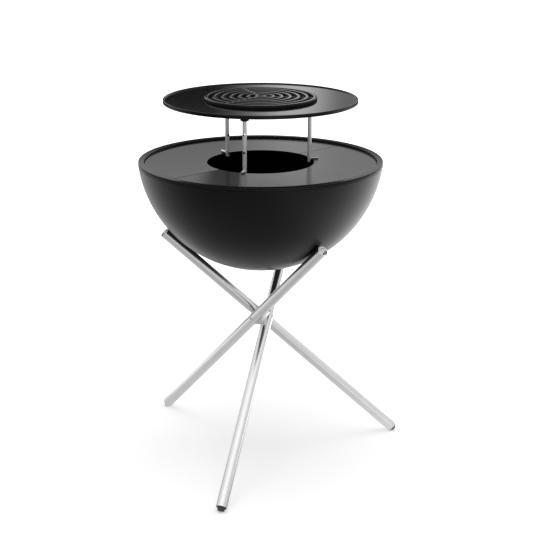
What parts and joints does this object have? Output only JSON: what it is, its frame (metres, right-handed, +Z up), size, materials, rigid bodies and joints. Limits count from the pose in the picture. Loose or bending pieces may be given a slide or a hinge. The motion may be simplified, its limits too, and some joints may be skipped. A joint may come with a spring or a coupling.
{
  "type": "plancha fire bowl grill",
  "caption": "Round fire bowl on a crossed-tube tripod, with a split griddle ring in its rim and a raised griddle plate on height-adjustable legs that holds a lift-out grate.",
  "frame": {"origin": "on the axis of the bowl and tripod, at floor level", "axes": "+Z up along the bowl's axis; -Y is the front, the side with the foot of the front leg; +X to the right seen from the front"},
  "size_m": [0.6345, 0.6358, 0.884],
  "materials": {
    "stainless_tube": "satin, brushed along the tube",
    "stainless_cap": "turned, bright",
    "foot_rubber": "matt",
    "hub_metal": "satin cast",
    "stainless_screw": "bright",
    "bowl_enamel": "satin black coating",
    "rim_enamel": "satin black coating",
    "griddle_steel": "satin seasoned steel",
    "plate_steel": "satin seasoned steel",
    "collar_black": "matt black coating",
    "stainless_rod": "bright drawn",
    "grate_iron": "fine cast, seasoned"
  },
  "bodies": {
    "tripod": {"tripod_leg_front": "stainless_tube", "tripod_leg_right": "stainless_tube", "tripod_leg_left": "stainless_tube", "leg_cap_front": "stainless_cap", "leg_cap_right": "stainless_cap", "leg_cap_left": "stainless_cap", "foot_plug_front": "foot_rubber", "foot_plug_right": "foot_rubber", "foot_plug_left": "foot_rubber", "tripod_hub": "hub_metal", "hub_screws": "stainless_screw"},
    "bowl": {"bowl_shell": "bowl_enamel", "rim_ring": "rim_enamel"},
    "plancha_front": {"plancha_front": "griddle_steel"},
    "plancha_rear": {"plancha_rear": "griddle_steel"},
    "stand": {"upper_plate": "plate_steel", "collar_screws": "stainless_screw", "leg_collar_front": "collar_black", "leg_collar_right": "collar_black", "leg_collar_left": "collar_black", "stand_leg_front": "stainless_rod", "stand_leg_right": "stainless_rod", "stand_leg_left": "stainless_rod"},
    "grate": {"grate_insert": "grate_iron"},
    "pin_front": {"height_pin_front": "stainless_rod"},
    "pin_right": {"height_pin_right": "stainless_rod"},
    "pin_left": {"height_pin_left": "stainless_rod"}
  },
  "joints": [
    {"name": "bowl_lift", "type": "slide", "parent": "tripod", "child": "bowl", "axis": [0, 0, 1], "range_m": [0, 0.15]},
    {"name": "plancha_front_lift", "type": "slide", "parent": "bowl", "child": "plancha_front", "axis": [0, 0, 1], "range_m": [0, 0.1]},
    {"name": "plancha_rear_lift", "type": "slide", "parent": "plancha_front", "child": "plancha_rear", "axis": [0, 0, 1], "range_m": [0, 0.1]},
    {"name": "stand_lift", "type": "slide", "parent": "plancha_rear", "child": "stand", "axis": [0, 0, 1], "range_m": [0, 0.15]},
    {"name": "grate_lift", "type": "slide", "parent": "stand", "child": "grate", "axis": [0, 0, 1], "range_m": [0, 0.1]},
    {"name": "pin_front_pull", "type": "slide", "parent": "stand", "child": "pin_front", "axis": [-0.3007, -0.9537, 0], "range_m": [0, 0.03]},
    {"name": "pin_right_pull", "type": "slide", "parent": "stand", "child": "pin_right", "axis": [0.9763, 0.2164, 0], "range_m": [0, 0.03]},
    {"name": "pin_left_pull", "type": "slide", "parent": "stand", "child": "pin_left", "axis": [-0.6756, 0.7373, 0], "range_m": [0, 0.03]}
  ]
}
